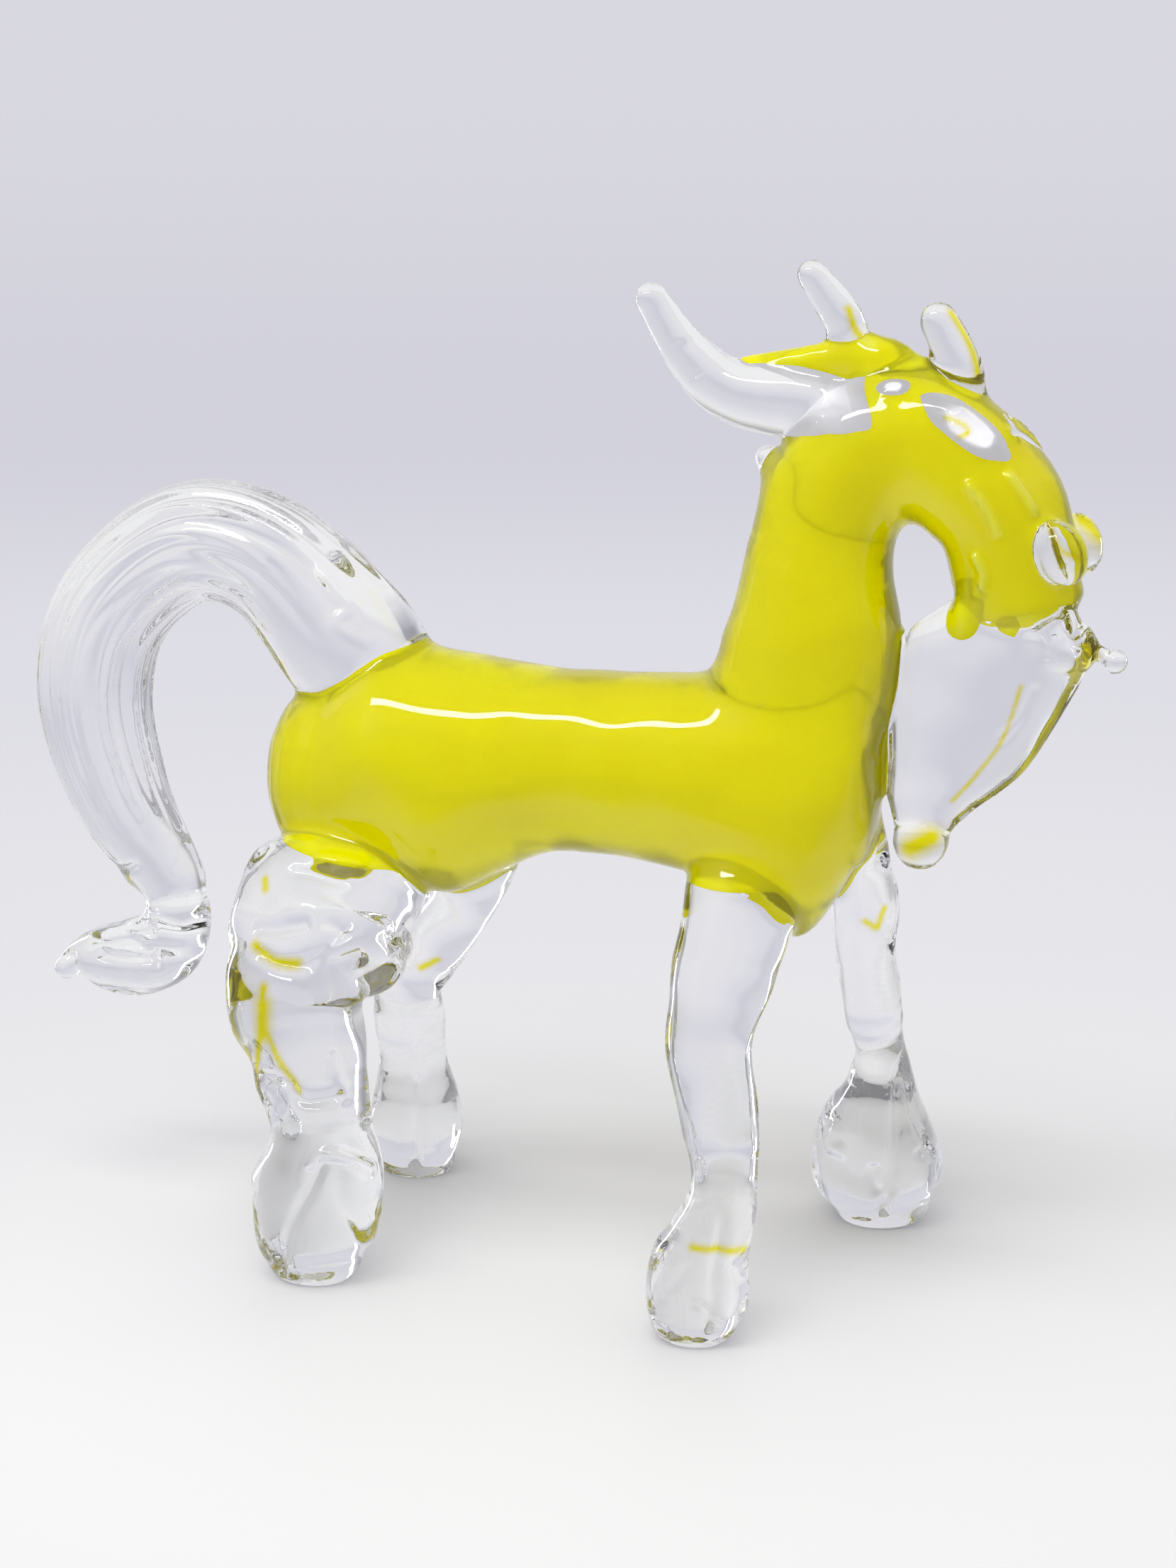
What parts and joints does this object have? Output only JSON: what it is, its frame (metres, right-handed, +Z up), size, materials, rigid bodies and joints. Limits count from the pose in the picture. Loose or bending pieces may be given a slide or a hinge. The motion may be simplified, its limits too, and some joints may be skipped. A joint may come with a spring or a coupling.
{
  "type": "horse figurine",
  "caption": "Lampworked glass horse ornament with a yellow body, clear legs, combed arched tail, pulled mane locks and a clear beard, standing free on flat hooves.",
  "frame": {"origin": "on the table, under the middle of the figurine's box", "axes": "+X forward to the head, +Y to the animal's left, +Z up"},
  "size_m": [0.079, 0.0313, 0.0682],
  "materials": {
    "yellow_glass": "polished",
    "clear_glass": "polished"
  },
  "bodies": {
    "root": {"torso": "yellow_glass", "neck": "yellow_glass", "head": "yellow_glass", "crest": "yellow_glass", "right_eye": "clear_glass", "left_eye": "clear_glass", "right_nostril": "clear_glass", "left_nostril": "clear_glass", "lips": "clear_glass", "lip_drop": "clear_glass", "jaw_bead": "yellow_glass", "nape_bead": "clear_glass", "mane_lock": "clear_glass", "poll_lock": "clear_glass", "forelock": "clear_glass", "beard": "clear_glass", "beard_bead": "clear_glass", "tail": "clear_glass", "tail_curl": "clear_glass", "right_fore_leg": "clear_glass", "right_fore_hoof": "clear_glass", "left_fore_leg": "clear_glass", "left_fore_hoof": "clear_glass", "right_hind_thigh": "clear_glass", "right_hind_shank": "clear_glass", "right_hind_hoof": "clear_glass", "left_hind_thigh": "clear_glass", "left_hind_shank": "clear_glass", "left_hind_hoof": "clear_glass"}
  },
  "joints": []
}
